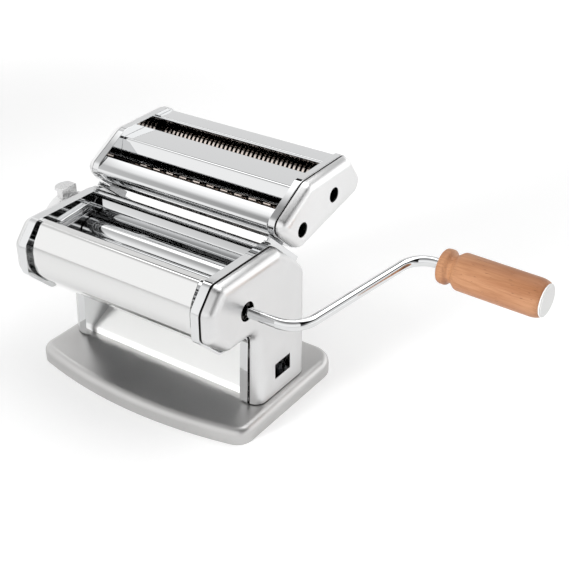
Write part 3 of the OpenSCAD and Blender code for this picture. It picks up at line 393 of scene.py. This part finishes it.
# Which finish each node has; the rest are plain steel
LOOKS = {
    "base": ["base_plate"],
    "cover": ["left_cover", "right_cover"],
    "cutter_cover": ["cutter_left_cover", "cutter_right_cover"],
    "chrome": ["left_frame", "right_frame", "rear_cover", "rear_guide", "dough_guides", "left_rail",
               "right_rail", "dial_plate", "crank_rod", "grip_washer", "leg_spacers", "cutter_left_frame",
               "cutter_right_frame", "cutter_front_guard", "cutter_mid_cover", "cutter_rear_guard"],
    "sheet": ["front_cover"],
    "pale": ["pasta_chute"],
    "roller": ["front_roller", "rear_roller"],
    "bronze": ["front_bushes", "axle_bush", "rear_bushes", "cutter_bushes"],
    "knob": ["knob"],
    "wood": ["grip"],
    "cap": ["grip_cap"],
    "rubber": ["base_feet"],
}
FINISH_OF = {node: finish for finish, group in LOOKS.items() for node in group}
FINISH_OF.update({node: node for node in RING_ROLLERS})


def dress_nodes():
    for name, node in nodes.items():
        node.data.materials.clear()
        node.data.materials.append(FINISHES[FINISH_OF.get(name, "steel")])


# The nodes that get a smooth copy, because their edges are rolled or pressed, with each edge's radius in mm
ROLLED_EDGES = {
    "left_frame": 1.4, "right_frame": 1.4, "cutter_left_frame": 1.2, "cutter_right_frame": 1.2,
    "base_plate": 0.4, "left_cover": 0.3, "right_cover": 0.3, "cutter_left_cover": 0.3,
    "cutter_right_cover": 0.3, "knob": 0.8, "front_cover": 0.3, "rear_cover": 0.3, "rear_guide": 0.3,
    "dough_guides": 0.4, "cutter_front_guard": 0.3, "cutter_mid_cover": 0.3, "cutter_rear_guard": 0.3,
    "crank_rod": 0.4, "grip": 0.3, "grip_cap": 0.2, "left_rail": 0.25, "right_rail": 0.25,
}
SHARP_ANGLE = math.radians(32)
FLAT_ANGLE = math.radians(0.6)
WELD = 0.004 * MM
EDGE_STEPS = 4


def smooth_copy(name, radius):
    """The node's own surface, joined up, its sharp edges rounded and its curves shaded smooth."""
    source = nodes[name]
    mesh = bpy.data.meshes.new(name + "_dressed")
    work = bmesh.new()
    work.from_mesh(source.data)
    bmesh.ops.remove_doubles(work, verts=work.verts, dist=WELD)
    bmesh.ops.dissolve_limit(work, angle_limit=FLAT_ANGLE, verts=work.verts, edges=work.edges)
    work.to_mesh(mesh)
    work.free()
    mesh.materials.append(source.data.materials[0])
    piece = bpy.data.objects.new(name + "_dressed", mesh)
    bpy.context.scene.collection.objects.link(piece)
    round_off = piece.modifiers.new("rolled_edge", "BEVEL")
    round_off.width = radius * MM
    round_off.segments = EDGE_STEPS
    round_off.limit_method = "ANGLE"
    round_off.angle_limit = SHARP_ANGLE
    round_off.use_clamp_overlap = True
    round_off.miter_outer = "MITER_ARC"
    mesh.shade_smooth()
    mesh.set_sharp_from_angle(angle=SHARP_ANGLE)
    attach(piece, source["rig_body"])
    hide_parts(name)


# Stage
FLOOR_SIZE = 8.0
FLOOR_COLOUR = (0.9, 0.9, 0.9)
FLOOR_ROUGH = 0.9
# The floor's own light for the camera and for mirrors, and the distances between which it turns white
FLOOR_GLOW = 0.22
FLOOR_FADE = (0.5, 1.6)
WHITE = (1, 1, 1, 1)


def make_floor():
    mesh = bpy.data.meshes.new("floor")
    half = FLOOR_SIZE / 2
    corners = [(-half, -half, 0), (half, -half, 0), (half, half, 0), (-half, half, 0)]
    mesh.from_pydata(corners, [], [(0, 1, 2, 3)])
    floor = bpy.data.objects.new("floor", mesh)
    bpy.context.scene.collection.objects.link(floor)
    material = bpy.data.materials.new("floor_white")
    material.use_nodes = True
    t = Tree(material.node_tree)
    shader = material.node_tree.nodes["Principled BSDF"]
    shader.inputs["Base Color"].default_value = rgba(FLOOR_COLOUR)
    shader.inputs["Roughness"].default_value = FLOOR_ROUGH
    path = t.add("LightPath").outputs
    shown = t.math("MAXIMUM", path["Is Camera Ray"], path["Is Transmission Ray"])
    away = t.add("VectorMath", {"operation": "LENGTH"})
    t.set(away, "0", t.add("NewGeometry").outputs["Position"])
    fade = t.fit(away.outputs["Value"], *FLOOR_FADE, FLOOR_GLOW, 1.0)
    mirrored = t.math("MULTIPLY", path["Is Glossy Ray"], FLOOR_GLOW)
    glow = t.math("ADD", t.math("MULTIPLY", shown, fade), mirrored)
    shader.inputs["Emission Color"].default_value = WHITE
    t.link(glow, shader.inputs["Emission Strength"])
    mesh.materials.append(material)


WORLD_LIGHT = 0.55
# What bright metal mirrors: a white card at the front left, a dim side at the front right, a window at the
# back right, and elsewhere a pale backdrop, a dark gap above it and the top light. Each pair of numbers is a
# soft edge, as a height or a turn on a ball of radius 1.
BRIGHT_SIDE = (-0.616, -0.788, 0.0)
BRIGHT_EDGE = (-0.01, 0.03)
DARK_SIDE = (0.80, -0.60, 0.0)
DARK_EDGE = (0.2, 0.45)
DARK_FOOT = (0.06, 0.2)
DARK_PART = 0.9
WINDOW_SIDE = (0.80, 0.60, 0.0)
WINDOW_EDGE = (0.30, 0.75)
WINDOW_TOP = (0.48, 0.60)
WINDOW_LEVEL = 0.8
CARD_LEVEL = 1.2
CARD_HIGH_LEVEL = 0.3
CARD_FADE = (0.55, 0.95)
BACKDROP_LEVEL = 0.92
BACKDROP_TOP = (0.55, 0.58)
GAP_LEVEL = 0.02
TOP_LIGHT_LEVEL = 2.6
TOP_LIGHT_FRONT = 0.05
TOP_LIGHT_EDGE = (0.72, 0.78)
TOP_LIGHT_BACK = (-0.1, 0.2)


def toward(t, way, side):
    """How far a direction turns toward a side: 1 straight at it, 0 square to it."""
    node = t.add("VectorMath", {"operation": "DOT_PRODUCT"})
    t.set(node, "0", way)
    t.set(node, "1", side)
    return node.outputs["Value"]


def make_world():
    world = bpy.data.worlds.new("studio")
    bpy.context.scene.world = world
    world.use_nodes = True
    t = Tree(world.node_tree)
    background = world.node_tree.nodes["Background"]
    background.inputs["Color"].default_value = WHITE
    way = t.add("TexCoord").outputs["Generated"]
    place = t.add("SeparateXYZ", Vector=way).outputs
    height = place["Z"]
    backdrop = t.fit(height, *BACKDROP_TOP, BACKDROP_LEVEL, GAP_LEVEL)
    overhead = t.fit(place["Y"], *TOP_LIGHT_BACK, TOP_LIGHT_FRONT, TOP_LIGHT_LEVEL)
    sky = t.math("ADD", backdrop, t.math("MULTIPLY", t.fit(height, *TOP_LIGHT_EDGE), overhead))
    dark = t.math("MULTIPLY", t.fit(toward(t, way, DARK_SIDE), *DARK_EDGE), t.fit(height, *DARK_FOOT))
    sky = t.math("MULTIPLY", sky, t.math("SUBTRACT", 1.0, t.math("MULTIPLY", dark, DARK_PART)))
    window = t.math("MULTIPLY", t.fit(toward(t, way, WINDOW_SIDE), *WINDOW_EDGE),
                    t.fit(height, *WINDOW_TOP, WINDOW_LEVEL, 0.0))
    sky = t.math("ADD", sky, window)
    card = t.math("MULTIPLY", t.fit(toward(t, way, BRIGHT_SIDE), *BRIGHT_EDGE),
                  t.fit(height, *CARD_FADE, CARD_LEVEL, CARD_HIGH_LEVEL))
    mirrored = t.math("MAXIMUM", sky, card)
    path = t.add("LightPath").outputs
    shown = t.math("MAXIMUM", path["Is Camera Ray"], path["Is Transmission Ray"])
    rest = t.math("SUBTRACT", 1.0, t.math("ADD", shown, path["Is Glossy Ray"], clamp=True))
    level = t.math("ADD", shown, t.math("MULTIPLY", mirrored, path["Is Glossy Ray"]))
    level = t.math("ADD", level, t.math("MULTIPLY", rest, WORLD_LIGHT))
    t.link(level, background.inputs["Strength"])


def area_light(name, place, target, size, power, spread=180):
    """A soft lamp that metal doesn't mirror, because the world has what it mirrors."""
    data = bpy.data.lights.new(name, "AREA")
    data.shape = "RECTANGLE"
    data.size, data.size_y = size
    data.energy = power
    data.spread = math.radians(spread)
    light = bpy.data.objects.new(name, data)
    light.location = place
    light.rotation_euler = (Vector(target) - Vector(place)).to_track_quat("-Z", "Y").to_euler()
    light.visible_glossy = False
    bpy.context.scene.collection.objects.link(light)


def make_lights():
    area_light("key_light", (0.75, 0.55, 1.5), (0, 0, 0.05), (1.5, 1.3), 10.5)
    area_light("low_light", (-0.45, -1.5, 0.36), (0, 0, 0.04), (0.9, 0.4), 1.35, spread=24)


bpy.context.scene.view_settings.view_transform = "Standard"
make_camera()
dress_nodes()
for node_name, edge_radius in ROLLED_EDGES.items():
    smooth_copy(node_name, edge_radius)
make_floor()
make_world()
make_lights()
